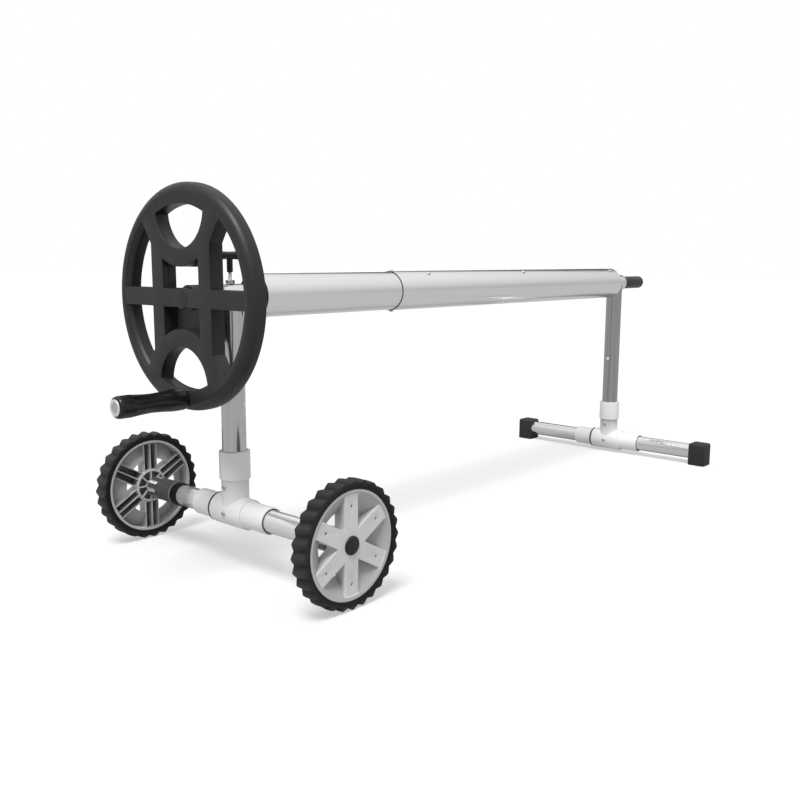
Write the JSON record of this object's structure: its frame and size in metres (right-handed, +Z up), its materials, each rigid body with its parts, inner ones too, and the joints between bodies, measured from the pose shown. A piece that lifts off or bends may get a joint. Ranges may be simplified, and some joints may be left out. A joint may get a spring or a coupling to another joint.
{
  "type": "pool cover reel",
  "caption": "Portable pool cover reel with a telescopic tube, hand wheel with crank grip, a wheeled stand and a footed stand.",
  "frame": {"origin": "middle of the bounding box's footprint, at ground level", "axes": "+X along the reel from the hand wheel to the far stand, +Z up, -Y towards the front road wheel"},
  "size_m": [1.6654, 0.5738, 0.6464],
  "materials": {
    "polished_steel": "polished steel tube",
    "satin_aluminium": "satin anodised",
    "zinc_steel": "zinc-plated",
    "black_plastic": "moulded, fine satin",
    "grip_plastic": "smooth moulded",
    "white_plastic": "moulded pipe fitting",
    "grey_plastic": "moulded, satin",
    "dark_plastic": "moulded",
    "tyre_rubber": "moulded tread",
    "foot_rubber": "moulded"
  },
  "bodies": {
    "near_stand": {"near_leg": "polished_steel", "near_sleeve": "polished_steel", "near_bush_outer": "dark_plastic", "near_bush_inner": "dark_plastic", "near_tee": "white_plastic", "near_spacer_ring": "dark_plastic", "near_coupling": "white_plastic", "near_tee_seal": "foot_rubber", "near_tee_screw_lower": "zinc_steel", "near_tee_screw_upper": "zinc_steel", "near_base_tube": "polished_steel", "lock_nut": "zinc_steel", "front_axle_plug": "dark_plastic", "front_axle_pin": "zinc_steel", "front_axle_nut": "zinc_steel", "rear_axle_plug": "dark_plastic", "rear_axle_pin": "zinc_steel", "rear_axle_nut": "zinc_steel"},
    "front_wheel": {"front_tyre": "tyre_rubber", "front_rim": "grey_plastic", "front_hub_cap": "grip_plastic"},
    "rear_wheel": {"rear_tyre": "tyre_rubber", "rear_rim": "grey_plastic", "rear_hub_cap": "grip_plastic"},
    "reel": {"hand_wheel": "black_plastic", "wheel_pin": "zinc_steel", "near_shaft": "black_plastic", "near_plug": "black_plastic", "inner_tube": "satin_aluminium", "crank_bolt": "zinc_steel", "crank_nut": "zinc_steel"},
    "grip": {"crank_grip": "grip_plastic"},
    "sliding_tube": {"outer_tube": "satin_aluminium", "joint_screw_top": "zinc_steel", "joint_screw_bottom": "zinc_steel", "strap_screw_1": "zinc_steel", "strap_screw_2": "zinc_steel", "strap_screw_3": "zinc_steel", "far_plug": "black_plastic", "far_shaft": "black_plastic"},
    "far_stand": {"far_leg": "polished_steel", "leg_button": "white_plastic", "far_sleeve": "polished_steel", "far_bush_inner": "dark_plastic", "far_bush_outer": "dark_plastic", "far_tee": "white_plastic", "far_spacer_ring": "dark_plastic", "far_coupling": "white_plastic", "far_tee_seal": "foot_rubber", "far_tee_screw_lower": "zinc_steel", "far_tee_screw_upper": "zinc_steel", "far_base_tube": "polished_steel", "front_foot": "foot_rubber", "rear_foot": "foot_rubber"},
    "lock_pad": {"lock_pad": "zinc_steel"},
    "lock_knob": {"lock_screw": "zinc_steel", "lock_handle": "black_plastic"}
  },
  "joints": [
    {"name": "reel_spin", "type": "hinge", "parent": "near_stand", "child": "reel", "pos_m": [-0.61135, 0, 0.467], "axis": [1, 0, 0], "continuous": true},
    {"name": "grip_spin", "type": "hinge", "parent": "reel", "child": "grip", "pos_m": [-0.61135, 0, 0.307], "axis": [1, 0, 0], "continuous": true},
    {"name": "front_wheel_spin", "type": "hinge", "parent": "near_stand", "child": "front_wheel", "pos_m": [-0.61135, -0.2689, 0.1015], "axis": [0, 1, 0], "continuous": true},
    {"name": "rear_wheel_spin", "type": "hinge", "parent": "near_stand", "child": "rear_wheel", "pos_m": [-0.61135, 0.2689, 0.1015], "axis": [0, 1, 0], "continuous": true},
    {"name": "far_stand_slide", "type": "slide", "parent": "near_stand", "child": "far_stand", "axis": [1, 0, 0], "range_m": [-0.3, 0.3]},
    {"name": "tube_slide", "type": "slide", "parent": "reel", "child": "sliding_tube", "axis": [1, 0, 0], "range_m": [-0.3, 0.3]},
    {"name": "lock_travel", "type": "slide", "parent": "near_stand", "child": "lock_pad", "axis": [0, 0, 1], "range_m": [0, 0.003]},
    {"name": "lock_turn", "type": "hinge", "parent": "lock_pad", "child": "lock_knob", "pos_m": [-0.61135, 0, 0.467], "axis": [0, 0, 1], "range_deg": [0, 1080]}
  ],
  "couplings": [
    {"joint": "tube_slide", "follows": "far_stand_slide", "ratio": 1},
    {"joint": "lock_turn", "follows": "lock_travel", "rad_per_m": 6283.2}
  ]
}
